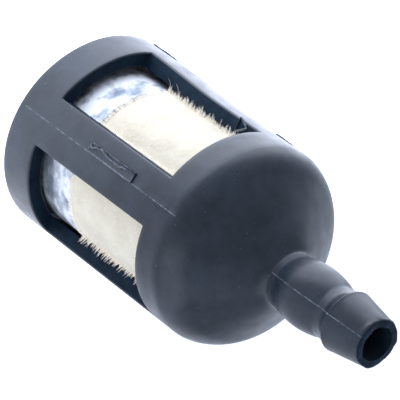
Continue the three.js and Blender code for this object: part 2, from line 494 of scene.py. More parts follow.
def block(name, size, place, materials, cuts=0):
    """Starts a detail from a cube that is sized, cut and placed, and leaves it open for editing."""
    bpy.ops.object.select_all(action="DESELECT")
    bpy.ops.mesh.primitive_cube_add(size=1)
    obj = bpy.context.object
    obj.name = obj.data.name = name
    dress(obj, *materials)
    edit_mode(obj)
    bpy.ops.mesh.select_all(action="SELECT")
    bpy.ops.transform.resize(value=size)
    if cuts:
        bpy.ops.mesh.subdivide(number_cuts=cuts)
    bpy.ops.transform.translate(value=place)
    return obj


def finish_piece(obj, *nodes, slot, smooth_angle=35):
    """Gives a finished piece its shading and its place in the frame."""
    pick(obj)
    bpy.ops.object.shade_smooth_by_angle(angle=math.radians(smooth_angle))
    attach(obj, BODY)
    if nodes:
        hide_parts(*nodes)


# ---------------------------------------------------------------- sizes and colours

def length(name, description, default):
    """A size in metres."""
    return FloatProperty(
        name=name, description=description, default=default, unit="LENGTH", precision=5
    )


def angle_of(name, description, degrees):
    """An angle whose default is given in degrees."""
    return FloatProperty(
        name=name, description=description, default=math.radians(degrees), subtype="ANGLE"
    )


def colour_of(name, description, code):
    """A colour whose default is an sRGB hex code."""
    return FloatVectorProperty(
        name=name, description=description, subtype="COLOR", size=4, min=0, max=1, default=srgb(code)
    )


class CageSizes(bpy.types.PropertyGroup):
    """Sizes of the moulded cage that the frame's boxes don't give."""

    wall: length("Wall", "Thickness of the cage's round wall", 1.3 * MM)
    rear_ring: length("Rear ring", "Height of the ring below the windows", 3.75 * MM)
    window: length("Window", "Length of each window along the axis", 14.85 * MM)
    front_ring: length("Front ring", "Height of the ring above the windows", 2.6 * MM)
    rib_width: length("Rib width", "Width of each rib between its parallel faces", 4.4 * MM)
    edge_round: length("Edge rounding", "Rounding of the window edges", 0.13 * MM)
    rim_round: length("Rim rounding", "Rounding of the rear rim", 0.3 * MM)
    lip: length("Lip", "Height and width of the lip that holds the weight", 0.6 * MM)
    seat_rise: length("Seat rise", "Height of the felt's seat above the windows", 2.25 * MM)
    seat_width: length("Seat width", "Width of the felt's seat inside the wall", 1.55 * MM)
    socket: length("Socket radius", "Radius of the socket that takes the core's tube", 3.2 * MM)
    socket_wall: length("Socket wall", "Thickness of the socket's wall", 1.2 * MM)
    socket_depth: length("Socket depth", "Depth of the socket below the dome", 2.4 * MM)
    shoulder: length("Shoulder radius", "Radius of the dome's shoulder", 4 * MM)
    dome_height: length("Dome height", "Height of the dome above the front ring", 5.55 * MM)
    neck_foot: length("Neck foot", "Width of the fillet between dome and neck", 0.45 * MM)
    neck_blend: length("Neck blend", "How far the neck's soft fillet spreads over the dome", 0.3 * MM)
    neck: length("Neck radius", "Radius of the neck above the dome", 2.42 * MM)
    neck_rise: length("Neck rise", "Height of the fillet between dome and neck", 0.35 * MM)
    neck_length: length("Neck length", "Length of the straight neck", 0.9 * MM)
    bead_length: length("Bead length", "Length of the rounded bead", 4.85 * MM)
    bead_bulge: length("Bead bulge", "How far the bead stands out", 0.36 * MM)
    waist: length("Waist radius", "Radius of the waist behind the ridge", 2.28 * MM)
    waist_length: length("Waist length", "Length of the waist", 0.3 * MM)
    ridge: length("Ridge radius", "Radius of the barb's ridge", 2.62 * MM)
    ridge_rise: length("Ridge rise", "Height of the ridge's back slope", 1.25 * MM)
    tip: length("Tip radius", "Radius of the barb's tip", 2.07 * MM)
    tip_round: length("Tip rounding", "Rounding of the barb's tip", 0.2 * MM)
    bore: length("Bore radius", "Radius of the bore through the barb", 1.45 * MM)
    flash_height: length("Flash height", "Height of the parting line's flash", 0.07 * MM)
    flash_width: length("Flash width", "Width of the parting line's flash", 0.09 * MM)
    pad_length: length("Pad length", "Length of the marking pad", 5.9 * MM)
    pad_width: length("Pad width", "Width of the marking pad", 0.9 * MM)
    pad_height: length("Pad height", "Height of the marking pad", 0.15 * MM)
    pad_start: length("Pad start", "Height of the marking pad's rear end", 9.6 * MM)
    bow: length("Bow", "How far the rear ring stands out of round", 0.36 * MM)
    bow_angle: angle_of("Bow angle", "Where the rear ring stands out of round", -53)
    fin_angle: angle_of("Fin angle", "Where the two fins of flash stand", -51)
    fin: length("Fin", "Height of the fin of flash on the rear ring", 0.48 * MM)
    strip: length("Strip", "Height of the strip of flash on the front ring", 0.1 * MM)
    columns: IntProperty(name="Columns", description="Columns of faces round the cage", default=96)


class WeightSizes(bpy.types.PropertyGroup):
    """Sizes of the turned weight that the frame's boxes don't give."""

    spigot: length("Spigot radius", "Radius of the spigot that carries the core", 1.9 * MM)
    chamfer: length("Chamfer", "Chamfer of the weight's edges", 0.35 * MM)
    centre_hole: length("Centre hole", "Radius of the lathe's centre hole", 0.7 * MM)
    centre_depth: length("Centre depth", "Depth of the lathe's centre hole", 0.5 * MM)
    columns: IntProperty(name="Columns", description="Columns of faces round the weight", default=160)


class FeltSizes(bpy.types.PropertyGroup):
    """Sizes of the felt sleeve, its surface and its loose fibres."""

    bore: length("Bore radius", "Radius of the sleeve's bore", 3.7 * MM)
    edge_round: length("Edge rounding", "Rounding of the sleeve's edges", 0.25 * MM)
    sag: length("Sag", "How far the felt sags into its gap over the weight", 0.18 * MM)
    lump_grain: length("Lump grain", "Size of the soft lumps", 2.6 * MM)
    lump_depth: length("Lump depth", "Depth of the soft lumps", 0.16 * MM)
    nap_grain: length("Nap grain", "Size of the nap's tufts", 0.28 * MM)
    nap_depth: length("Nap depth", "Depth of the nap's tufts", 0.07 * MM)
    tuft_pitch: length("Tuft pitch", "Distance from tuft to tuft along the felt's edges", 0.12 * MM)
    tuft_length: length("Tuft length", "Length of the longest tufts", 0.85 * MM)
    fibre_radius: length("Fibre radius", "Radius of a fibre", 0.021 * MM)
    strands: IntProperty(name="Strands", description="Number of strands in each tuft", default=8)
    fibre_count: IntProperty(
        name="Fibres", description="Number of loose fibres in each window", default=260
    )
    hair_count: IntProperty(name="Hairs", description="Number of stray hairs at each window", default=2)
    seed: IntProperty(name="Seed", description="Seed of the fibres' scatter", default=7)
    columns: IntProperty(name="Columns", description="Columns of faces round the felt", default=300)


class Finishes(bpy.types.PropertyGroup):
    """Colours of the finishes."""

    nylon_dark: colour_of("Nylon dark", "Darker clouds of the charcoal nylon", "#17222c")
    nylon_light: colour_of("Nylon light", "Lighter clouds of the charcoal nylon", "#28343f")
    nylon_speck: colour_of("Nylon speck", "Fibre ends and dust on the nylon", "#5f6a74")
    # Painted highlight: the pale colour of flash and ridges stands in for the light that they catch.
    nylon_highlight_paint: colour_of("Nylon worn", "Rubbed flash and ridges", "#707985")
    # Painted shade: the window nylon's darker colours stand in for the shade deep in the windows.
    nylon_shade_paint: colour_of("Nylon in the windows", "Dull nylon deep in the windows", "#182b3b")
    nylon_shade_paint_dark: colour_of("Nylon pits", "Darkest dull nylon", "#0e1c29")
    felt_cream: colour_of("Felt cream", "Felt", "#f6edd3")
    felt_shade: colour_of("Felt shade", "Felt in its hollows", "#e8ddc2")
    fibre: colour_of("Fibre", "Single fibres that stand off the felt", "#fffaf0")
    zinc_bright: colour_of("Zinc bright", "Bright zinc crystals", "#f4f6f8")
    zinc_mid: colour_of("Zinc middle", "Zinc between the crystals", "#c3c9cf")
    zinc_dark: colour_of("Zinc dark", "Dull zinc", "#949da8")
    core_light: colour_of("Core light", "Lighter clouds of the core's nylon", "#e2decf")
    core_shade: colour_of("Core shade", "Darker clouds of the core's nylon", "#d2cdbd")
    screen_thread: colour_of("Screen thread", "Threads of the screen", "#d6d9da")
    # Painted shade: the screen's gaps are darker for the shade between its threads.
    screen_gap_painted_shade: colour_of("Screen gap", "Gaps between the screen's threads", "#6d7173")


class StageSettings(bpy.types.PropertyGroup):
    """Place of the camera, size of the floor and colours of the studio."""

    azimuth: angle_of("Azimuth", "Camera azimuth", 36.82)
    elevation: angle_of("Elevation", "Camera elevation", 42.36)
    roll: angle_of("Roll", "Camera roll about its view", 126.12)
    distance: length("Distance", "Camera distance from its aim", 263.9 * MM)
    lens: FloatProperty(name="Lens", description="Focal length in millimetres", default=294.2)
    aim: FloatVectorProperty(
        name="Aim",
        description="Point that the camera looks at",
        default=(0.54 * MM, -0.72 * MM, 14.61 * MM),
    )
    floor: length("Floor", "Side of the square floor", 3.0)
    floor_paint: colour_of("Floor paint", "Colour of the floor", "#f6f6f6")
    floor_glow: colour_of("Floor glow", "Colour of the light in the floor", "#e6edff")
    air: colour_of("Air", "Colour of the light all round", "#dfe8fa")
    softbox: colour_of("Softbox", "Colour of the softboxes", "#e8eeff")


# ---------------------------------------------------------------- cage

def cage_ends(sizes):
    """The radius of the cage's inside, and the height of its windows' front end."""
    return CAGE_HIGH.x - sizes.wall, sizes.rear_ring + sizes.window


def dome_shape(sizes):
    """The centre of the shoulder's arc, the angle where it meets the dome, and the dome's top."""
    shoulder_z = cage_ends(sizes)[1] + sizes.front_ring
    centre = (
        CAGE_HIGH.x - sizes.shoulder * math.cos(math.radians(SHOULDER_EDGE)),
        shoulder_z - sizes.shoulder * math.sin(math.radians(SHOULDER_EDGE)),
    )
    top = (sizes.neck + sizes.neck_foot, shoulder_z + sizes.dome_height)
    across, up = top[0] - centre[0], top[1] - centre[1]
    turn = math.degrees(math.atan2(up, across) - math.acos(sizes.shoulder / math.hypot(across, up)))
    return centre, turn, top


def outside_outline(sizes):
    """The cage's outside as points of radius and height, from the rear rim up to the bore."""
    outer, tip_z = CAGE_HIGH.x, CAGE_HIGH.z
    inner, window_end = cage_ends(sizes)
    centre, turn, dome_top = dome_shape(sizes)
    neck_z = dome_top[1] + sizes.neck_rise
    bead_start = neck_z + sizes.neck_length
    bead_end = bead_start + sizes.bead_length
    slope_start = bead_end + sizes.waist_length
    ridge_z = slope_start + sizes.ridge_rise
    rim, tip_round, blend = sizes.rim_round, sizes.tip_round, sizes.neck_blend
    foot = (dome_top[0] + blend, dome_top[1] - blend / math.tan(math.radians(turn)))
    # The ridge's back slope is hollow, and its crest is a narrow worn band and not a sharp edge.
    slope_end = (sizes.ridge - 0.05 * MM, ridge_z - 0.08 * MM)
    crest_end = (sizes.ridge - 0.03 * MM, ridge_z + 0.15 * MM)

    outline = [(inner - sizes.lip, 0)]
    outline += arc((outer - rim, rim), rim, -90, 0, 5)
    outline += straights(
        outline[-1],
        ((outer, sizes.rear_ring), 8),
        ((outer, window_end), 30),
        ((outer, window_end + sizes.front_ring), 5),
    )
    outline += arc(centre, sizes.shoulder, SHOULDER_EDGE, turn, 14)
    outline += straight(outline[-1], foot, 8)
    outline += eased(foot, (sizes.neck, neck_z), (sizes.neck, neck_z + blend), 8)
    outline += straight(outline[-1], (sizes.neck, bead_start), 4)
    outline += bulged(outline[-1], (sizes.waist, bead_end), sizes.bead_bulge, 24)
    outline += straight(outline[-1], (sizes.waist, slope_start), 2)
    outline += bulged(outline[-1], slope_end, -0.08 * MM, 7)
    outline += bulged(outline[-1], crest_end, 0.04 * MM, 4)
    outline += straight(outline[-1], (sizes.tip, tip_z - tip_round), 14)
    outline += arc((sizes.tip - tip_round, tip_z - tip_round), tip_round, 18, 90, 4)
    return outline + straight(outline[-1], (sizes.bore, tip_z), 3)


def inside_outline(sizes):
    """The cage's inside, from the bore's mouth down to the lip at the rear rim."""
    inner, window_end = cage_ends(sizes)
    (centre_r, centre_z), turn, _ = dome_shape(sizes)
    bend = math.radians(turn)
    shell = sizes.shoulder - sizes.wall

    def roof(radius):
        """The height of the dome's inside, a cone that meets the shoulder's inner arc."""
        across = centre_r + shell * math.cos(bend) - radius
        return centre_z + shell * math.sin(bend) + across / math.tan(bend)

    socket = sizes.socket
    socket_outer = socket + sizes.socket_wall
    socket_end = roof(socket) - sizes.socket_depth
    seat = inner - sizes.seat_width
    seat_z = window_end + sizes.seat_rise
    lip = inner - sizes.lip
    return straights(
        (sizes.bore, CAGE_HIGH.z),
        ((sizes.bore, roof(socket)), 10),
        ((socket, roof(socket)), 2),
        ((socket, socket_end), 2),
        ((socket_outer, socket_end), 1),
        ((socket_outer, roof(socket_outer)), 2),
        ((seat, roof(seat)), 3),
        ((seat, seat_z), 2),
        ((inner, seat_z), 1),
        ((inner, window_end), 3),
        ((inner, sizes.rear_ring), 30),
        ((inner, sizes.lip), 5),
        ((lip, sizes.lip), 1),
        ((lip, 0), 1),
    )


def set_window_sides(cage, sizes):
    """Turns the columns beside each rib until the rib's two faces are parallel."""
    inner, window_end = cage_ends(sizes)
    column = TURN / sizes.columns
    nearest = round(math.asin(sizes.rib_width / 2 / CAGE_HIGH.x) / column) * column
    for radius in (CAGE_HIGH.x, inner):
        wanted = math.asin(sizes.rib_width / 2 / radius)
        for side in (1, -1):

            def beside(vert):
                return (
                    abs(rib_turn(vert.co) - side * nearest) < column / 10
                    and abs(reach(vert.co) - radius) < TINY
                    and sizes.rear_ring - TINY < vert.co.z < window_end + TINY
                )

            select(cage, "VERT", beside)
            turn_selected(side * (wanted - nearest))


def cut_windows(cage, sizes):
    """Deletes the wall between the ribs and bridges its outer and inner outlines."""
    inner, window_end = cage_ends(sizes)
    half = sizes.rib_width / 2
    sunk = inner - 0.1 * MM

    def between_ribs(face):
        place = middle(face)
        aside = abs(reach(place) * math.sin(rib_turn(place)))
        return sizes.rear_ring < place.z < window_end and reach(place) > sunk and aside > half

    select(cage, "FACE", between_ribs)
    bpy.ops.mesh.delete(type="FACE")
    for index in range(RIB_COUNT):
        facing = Vector((math.cos(index * RIB_PITCH), math.sin(index * RIB_PITCH), 0))
        # An edge belongs to the window that it is less than half a pitch away from.
        select(
            cage, "EDGE", lambda edge: edge.is_boundary and away(middle(edge)).dot(facing) > 0.75
        )
        bpy.ops.mesh.bridge_edge_loops(type="PAIRS")
    bpy.ops.mesh.select_all(action="SELECT")
    bpy.ops.mesh.normals_make_consistent(inside=False)


def round_window_edges(cage, sizes):
    """Rounds every sharp edge of the windows."""
    inner, window_end = cage_ends(sizes)

    def sharp(edge):
        return (
            sizes.rear_ring - TINY < middle(edge).z < window_end + TINY
            and reach(middle(edge)) > inner - TINY
            and len(edge.link_faces) == 2
            and edge.calc_face_angle() > math.radians(50)
        )

    select(cage, "EDGE", sharp)
    bpy.ops.mesh.bevel(offset=sizes.edge_round, segments=3, affect="EDGES", clamp_overlap=True)


def paint_window_shade(cage, sizes):
    """Gives the windows' own faces and the cage's inside the nylon with painted shade, darkened for the
    shade deep in the windows.
    """
    window_end = cage_ends(sizes)[1]
    sunk = CAGE_HIGH.x - sizes.edge_round

    # Faces deep in the windows, which take the painted shade.
    def dull(face):
        place = middle(face)
        in_window = sizes.rear_ring - TINY < place.z < window_end + TINY
        # Faces that lean less than this towards the outside are in the window's depth.
        return in_window and reach(place) < sunk and face.normal.dot(away(place)) < 0.6

    paint(cage, PAINTED_SHADE_SLOT, dull)


def raise_parting_line(cage, sizes):
    """Splits the outside along the mould's parting plane and raises a thin broken flash on it."""
    off_bore = sizes.bore + 0.3 * MM
    dome_low = cage_ends(sizes)[1] + sizes.front_ring + 0.3 * MM
    dome_high = dome_low + sizes.dome_height + 0.4 * MM

    def on_plane(co):
        angle = math.atan2(co.y, co.x)
        near = min(abs(angle - FIRST_RIB), abs(angle - FIRST_RIB + math.pi))
        return near < 1e-4 and reach(co) > off_bore and co.z > sizes.rim_round

    def off_dome(height):
        return not dome_low < height < dome_high

    def along(edge):
        out = away(middle(edge))
        leaning = sum(face.normal.dot(out) for face in edge.link_faces)
        return all(on_plane(vert.co) for vert in edge.verts) and leaning > OUTWARD

    def on_crest(vert):
        return on_plane(vert.co) and vert.normal.dot(away(vert.co)) > OUTWARD and off_dome(vert.co.z)

    def on_flash(face):
        ridge = sum(on_plane(vert.co) for vert in face.verts) > 1
        outside = face.normal.dot(away(middle(face))) > OUTWARD
        return ridge and outside and off_dome(middle(face).z)

    select(cage, "EDGE", along)
    bpy.ops.mesh.bevel(
        offset_type="WIDTH", offset=sizes.flash_width, segments=2, affect="EDGES", clamp_overlap=True
    )
    select(cage, "VERT", on_crest)
    name_selected(cage, "flash")
    # The flash is pale with a painted highlight.
    paint(cage, PAINTED_HIGHLIGHT_SLOT, on_flash)


def gather_tip(cage):
    """Gives the barb's cut end the nylon with painted shade, which darkens it, and names its vertices,
    so that it can be made ragged.
    """
    cut_end = CAGE_HIGH.z - 0.1 * MM
    ragged = CAGE_HIGH.z - 0.3 * MM
    paint(cage, PAINTED_SHADE_SLOT, lambda face: middle(face).z > cut_end and face.normal.z > 0.8)
    select(cage, "VERT", lambda vert: vert.co.z > ragged)
    name_selected(cage, "tip")


def warp_rear(cage, sizes):
    """Pulls one rib and the rear ring beside it slightly out of round, as moulded parts come."""
    out = Vector((math.cos(sizes.bow_angle), math.sin(sizes.bow_angle), 0))
    spot = out * CAGE_HIGH.x + Vector((0, 0, 2 * MM))
    held = 2.4 * MM
    spread = 9 * MM
    # The lip's inner edge stays round, because the weight sits on it.
    lip_edge = cage_ends(sizes)[0] - TINY
    select(cage, "VERT", lambda vert: vert.co.z < sizes.lip + TINY and reach(vert.co) < lip_edge)
    bpy.ops.mesh.hide(unselected=False)
    select(cage, "VERT", lambda vert: (vert.co - spot).length < held)
    bpy.ops.transform.translate(
        value=out * sizes.bow,
        use_proportional_edit=True,
        proportional_edit_falloff="SMOOTH",
        proportional_size=spread,
        use_proportional_connected=False,
    )
    bpy.ops.mesh.reveal(select=False)


def marking_pad(sizes, materials):
    """The raised pad on one rib: a sunk face that leaves a border, with a wavy ridge on it, both pale
    with a painted highlight.
    """
    depth, border, sunk = 0.5 * MM, 0.12 * MM, 0.1 * MM
    top = CAGE_HIGH.x + sizes.pad_height
    middle_z = sizes.pad_start + sizes.pad_length / 2
    pad = block(
        "marking_pad",
        (depth, sizes.pad_width, sizes.pad_length),
        (top - depth / 2, -sizes.pad_width / 2, middle_z),
        materials,
    )
    select(pad, "FACE", lambda face: face.normal.x > 0.9)
    bpy.ops.mesh.inset(thickness=border, depth=-sunk)
    bpy.ops.mesh.select_all(action="SELECT")
    bpy.ops.mesh.bevel(offset=0.035 * MM, segments=2, affect="EDGES", clamp_overlap=True)
    # The border's top gets the pale painted highlight.
    paint(pad, PAINTED_HIGHLIGHT_SLOT, lambda face: middle(face).x > top - sunk / 2)
    object_mode()

    ridge = block(
        "wavy_ridge_painted_highlight",
        (0.22 * MM, 0.1 * MM, sizes.pad_length - 2 * border),
        (top - sunk, -0.72 * sizes.pad_width, middle_z),
        materials,
        cuts=30,
    )
    # The wavy ridge is pale all over with the painted highlight.
    paint(ridge, PAINTED_HIGHLIGHT_SLOT, lambda face: True)
    object_mode()
    ruffle(ridge, "wavy_ridge_painted_highlight", 0.9 * MM, 0.7 * MM, direction="Y")
    pick(pad)
    ridge.select_set(True)
    bpy.ops.object.join()
    edit_mode(pad)
    bpy.ops.mesh.select_all(action="SELECT")
    turn_selected(FIRST_RIB)
    object_mode()
    return pad


def flash_fin(sizes, materials, low, high, rise):
    """A thin fin of flash along the outside, which fades to its front end."""
    root, thickness = 0.5 * MM, 0.07 * MM
    fin = block(
        "flash_fin",
        (root + rise, thickness, high - low),
        (CAGE_HIGH.x + (rise - root) / 2, 0, (low + high) / 2),
        materials,
        cuts=16,
    )
    select(fin, "VERT", lambda vert: vert.co.x > CAGE_HIGH.x and vert.co.z > high - TINY)
    bpy.ops.transform.translate(
        value=(-rise, 0, 0),
        use_proportional_edit=True,
        proportional_edit_falloff="SMOOTH",
        proportional_size=(high - low) * 0.45,
    )
    bpy.ops.mesh.select_all(action="SELECT")
    turn_selected(sizes.fin_angle)
    object_mode()
    ruffle(fin, "fin_edge", 0.8 * MM, 0.12 * MM)
    return fin


def flash_web(sizes, materials):
    """A scrap of flash that stands as a small three-sided loop on the face of one rib."""
    rib = -FIRST_RIB
    lean = math.radians(-85)
    along = 8.0 * MM
    beside = sizes.rib_width / 2 + 0.05 * MM
    below = 2.1 * MM
    bpy.ops.object.select_all(action="DESELECT")
    bpy.ops.mesh.primitive_torus_add(
        major_segments=3,
        minor_segments=6,
        major_radius=0.68 * MM,
        minor_radius=0.09 * MM,
        rotation=(TURN / 4, lean, rib),
        location=(
            along * math.cos(rib) - beside * math.sin(rib),
            along * math.sin(rib) + beside * math.cos(rib),
            cage_ends(sizes)[1] - below,
        ),
    )
    web = bpy.context.object
    bpy.ops.object.transform_apply(location=True, rotation=True, scale=True)
    dress(web, *materials)
    edit_mode(web)
    bpy.ops.mesh.select_all(action="SELECT")
    bpy.ops.mesh.subdivide(number_cuts=3, smoothness=0.3)
    # The web is pale all over with the painted highlight.
    paint(web, PAINTED_HIGHLIGHT_SLOT, lambda face: True)
    object_mode()
    return web


class FILTER_OT_cage(bpy.types.Operator):
    """Model the moulded nylon cage with its windows, dome and barb"""

    bl_idname = "filter.cage"
    bl_label = "Cage"

    def execute(self, context):
        sizes = context.scene.cage_sizes
        finishes = context.scene.finishes
        materials = (charcoal_nylon(finishes), nylon_with_painted_window_shade(finishes), nylon_with_painted_highlight(finishes))
        outline = outside_outline(sizes) + inside_outline(sizes)
        cage = revolve("nylon_cage", outline, sizes.columns, FIRST_RIB)
        dress(cage, *materials)
        edit_mode(cage)
        set_window_sides(cage, sizes)
        cut_windows(cage, sizes)
        round_window_edges(cage, sizes)
        paint_window_shade(cage, sizes)
        raise_parting_line(cage, sizes)
        gather_tip(cage)
        warp_rear(cage, sizes)
        object_mode()
        # The cloud pattern's crests reach about a third of its strength above its middle.
        ruffle(cage, "flash", 0.6 * MM, sizes.flash_height * 3, group="flash", level=0.4)
        ruffle(cage, "tip", 1.3 * MM, 0.35 * MM, group="tip")
        window_end = cage_ends(sizes)[1]
        past_ring = 1.6 * MM
        before_ring = 1.2 * MM
        fin_end = sizes.rear_ring + past_ring
        details = (
            marking_pad(sizes, materials),
            flash_fin(sizes, materials, sizes.rim_round, fin_end, sizes.fin),
            flash_fin(
                sizes, materials, window_end - before_ring, window_end + past_ring, sizes.strip
            ),
            flash_web(sizes, materials),
        )
        pick(cage)
        for detail in details:
            detail.select_set(True)
        bpy.ops.object.join()
        finish_piece(cage, "cage_housing", slot="housing_nylon")
        return {"FINISHED"}


# ---------------------------------------------------------------- weight, felt and fibres

class FILTER_OT_weight(bpy.types.Operator):
    """Model the zinc-plated steel weight with its spigot"""

    bl_idname = "filter.weight"
    bl_label = "Weight"

    def execute(self, context):
        sizes = context.scene.weight_sizes
        radius, spigot, chamfer = WEIGHT_HIGH.x, sizes.spigot, sizes.chamfer
        rear, top = WEIGHT_LOW.z, WEIGHT_HIGH.z
        front = FELT_LOW.z - CLEARANCE
        centre = (0, rear + sizes.centre_depth)
        outline = [centre] + straights(
            centre,
            ((sizes.centre_hole, rear), 1),
            ((sizes.centre_hole + 0.5 * MM, rear), 1),
            ((radius - chamfer, rear), 8),
            ((radius, rear + chamfer), 2),
            ((radius, front - chamfer / 2), 18),
            ((radius - chamfer / 2, front), 2),
            ((spigot, front), 6),
            ((spigot, top - chamfer), 6),
            ((spigot - chamfer, top), 2),
            ((0, top), 2),
        )
        weight = revolve("zinc_weight", outline, sizes.columns)
        ruffle(weight, "weight_waves", 1.2 * MM, 0.05 * MM)
        dress(weight, plated_steel(context.scene.finishes))
        finish_piece(weight, "ballast_weight", slot="plated_steel")
        return {"FINISHED"}


class FILTER_OT_felt(bpy.types.Operator):
    """Model the soft felt sleeve with its lumps and nap"""

    bl_idname = "filter.felt"
    bl_label = "Felt"

    def execute(self, context):
        sizes = context.scene.felt_sizes
        outer, bore, soft = FELT_HIGH.x, sizes.bore, sizes.edge_round
        low, high = FELT_LOW.z - sizes.sag, FELT_HIGH.z
        outline = [(bore, low), (outer - soft, low)]
        outline += arc((outer - soft, low + soft), soft, -80, 0, 4)
        outline += straight(outline[-1], (outer, high - soft), 72)
        outline += arc((outer - soft, high - soft), soft, 10, 90, 4)
        outline += straights(outline[-1], ((bore, high), 4), ((bore, low), 8))
        felt = revolve("felt_pad", outline, sizes.columns)
        ruffle(felt, "felt_lumps", sizes.lump_grain, sizes.lump_depth)
        ruffle(felt, "felt_nap", sizes.nap_grain, sizes.nap_depth)
        dress(felt, cream_felt(context.scene.finishes))
        finish_piece(felt, "felt_sleeve", slot="wool_felt", smooth_angle=80)
        return {"FINISHED"}


def on_felt(angle, height, proud=0.0):
    """A place on the felt's surface, or proud of it."""
    radius = FELT_HIGH.x + proud
    return Vector((radius * math.cos(angle), radius * math.sin(angle), height))


def scatter(rng, spread):
    """A random step of up to a spread each way."""
    return Vector([rng.uniform(-spread, spread) for _ in range(3)])


def add_fibre(curve, points, thickness=1.0):
    """Adds one fibre, which thins to a quarter at its tip, through the given points."""
    spline = curve.splines.new("POLY")
    spline.points.add(len(points) - 1)
    for index, (target, point) in enumerate(zip(spline.points, points)):
        target.co = (*point, 1)
        target.radius = thickness * (1 - 0.75 * index / (len(points) - 1))


def add_tuft(curve, rng, root, tip, spread, strands):
    """Adds strands that leave the felt side by side and lean together at the tuft's tip."""
    for _ in range(strands):
        start = root + scatter(rng, spread)
        end = root.lerp(tip, rng.uniform(0.55, 1)) + scatter(rng, spread) * 0.5
        bend = scatter(rng, spread) * 0.25
        add_fibre(curve, [start, start.lerp(end, 0.55) + bend, end], rng.uniform(0.6, 1.1))


def tufts_along_ribs(curve, rng, sizes, span, low, high):
    """Tufts that the ribs' inner edges push up against both sides of each window."""
    stray = 0.02
    root_depth, root_spread = 0.05 * MM, 0.09 * MM
    count = round((high - low) / sizes.tuft_pitch)
    for window in range(RIB_COUNT):
        for side in (-1, 1):
            for index in range(count):
                height = low + (index + rng.uniform(0.2, 0.8)) * sizes.tuft_pitch
                angle = window * RIB_PITCH + side * (span - rng.uniform(0.0, stray))
                rise = sizes.tuft_length * rng.uniform(0.45, 1.0) ** 1.5
                root = on_felt(angle, height, -root_depth)
                leaning = angle + side * rng.uniform(0.0, stray)
                tip = on_felt(leaning, height - rng.uniform(-0.1, 0.3) * MM, rise)
                add_tuft(curve, rng, root, tip, root_spread, sizes.strands)


def tufts_over_weight(curve, rng, sizes, span, low):
    """Short tufts that hang from the felt's rear edge over the steel."""
    stray = 0.02
    root_depth, root_spread, root_rise = 0.02 * MM, 0.1 * MM, 0.15 * MM
    count = round(2 * span * FELT_HIGH.x / sizes.tuft_pitch)
    for window in range(RIB_COUNT):
        for index in range(count):
            angle = window * RIB_PITCH - span + 2 * span * (index + rng.uniform(0.2, 0.8)) / count
            overhang = rng.uniform(0.15, 0.6) * MM
            root = on_felt(angle, low + root_rise, -root_depth)
            leaning = angle + rng.uniform(-stray, stray)
            tip = on_felt(leaning, low - overhang, rng.uniform(0.02, 0.1) * MM)
            add_tuft(curve, rng, root, tip, root_spread, sizes.strands)


def loose_fibres(curve, rng, sizes, span, low, high):
    """Fine fibres that lie nearly flat on the felt, rooted in it at one end."""
    thickness = 0.6
    for window in range(RIB_COUNT):
        for _ in range(sizes.fibre_count):
            angle = window * RIB_PITCH + rng.uniform(-span, span)
            height = rng.uniform(low, high)
            turn = rng.uniform(-0.06, 0.06)
            climb = rng.uniform(-0.5, 0.5) * MM
            proud = rng.uniform(0.06, 0.16) * MM
            points = [
                on_felt(angle, height, ROOT),
                on_felt(angle + turn * 0.3, height + climb * 0.2, proud),
                on_felt(angle + turn * 0.75, height + climb * 0.7, proud),
                on_felt(angle + turn, height + climb),
            ]
            add_fibre(curve, points, thickness)


def stray_hairs(curve, rng, sizes, span, low):
    """A few longer hairs that stand up beside the ribs near the felt's rear edge."""
    first, pitch = -0.1 * MM, 1.1 * MM
    thickness = 1.4
    for window in range(RIB_COUNT):
        for hair in range(sizes.hair_count):
            angle = window * RIB_PITCH - span + 0.01
            start = low + first + hair * pitch
            points = [
                on_felt(angle, start, ROOT),
                on_felt(angle - 0.015, start + 0.15 * MM, 0.35 * MM),
                on_felt(angle - 0.02, start - 0.1 * MM, 0.75 * MM),
                on_felt(angle - 0.01, start - 0.45 * MM, 1.0 * MM + rng.uniform(0, 0.2) * MM),
            ]
            add_fibre(curve, points, thickness)


class FILTER_OT_fibres(bpy.types.Operator):
    """Grow the felt's tufts, loose fibres and stray hairs in the windows"""

    bl_idname = "filter.fibres"
    bl_label = "Fibres"

    def execute(self, context):
        sizes = context.scene.felt_sizes
        cage = context.scene.cage_sizes
        rng = random.Random(sizes.seed)
        inner, high = cage_ends(cage)
        span = RIB_PITCH / 2 - math.asin(cage.rib_width / 2 / inner)
        low = FELT_LOW.z - sizes.sag
        curve = bpy.data.curves.new("felt_fibres", "CURVE")
        curve.dimensions = "3D"
        curve.bevel_depth = sizes.fibre_radius
        curve.bevel_resolution = 0
        curve.resolution_u = 1
        tufts_along_ribs(curve, rng, sizes, span, low, high)
        tufts_over_weight(curve, rng, sizes, span, low)
        loose_fibres(curve, rng, sizes, span, low, high)
        stray_hairs(curve, rng, sizes, span, low)
        fibres = bpy.data.objects.new("felt_fibres", curve)
        context.collection.objects.link(fibres)
        pick(fibres)
        bpy.ops.object.convert(target="MESH")
        fibres = bpy.context.object
        dress(fibres, wool_fibre(context.scene.finishes))
        finish_piece(fibres, slot="wool_felt", smooth_angle=180)
        return {"FINISHED"}


class FILTER_OT_inside(bpy.types.Operator):
    """Finish the slotted core and the screen, which keep their CAD shapes"""

    bl_idname = "filter.inside"
    bl_label = "Core and screen"

    def execute(self, context):
        finishes = context.scene.finishes
        for name, finish in (("support_core", natural_nylon), ("mesh_screen", screen_cloth)):
            material = finish(finishes)
            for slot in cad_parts[name].material_slots:
                slot.material = material
        return {"FINISHED"}


# ---------------------------------------------------------------- stage

def toward(azimuth, elevation):
    """The unit vector that points from the filter at an azimuth and elevation."""
    flat = math.cos(elevation)
    return Vector((flat * math.cos(azimuth), flat * math.sin(azimuth), math.sin(elevation)))


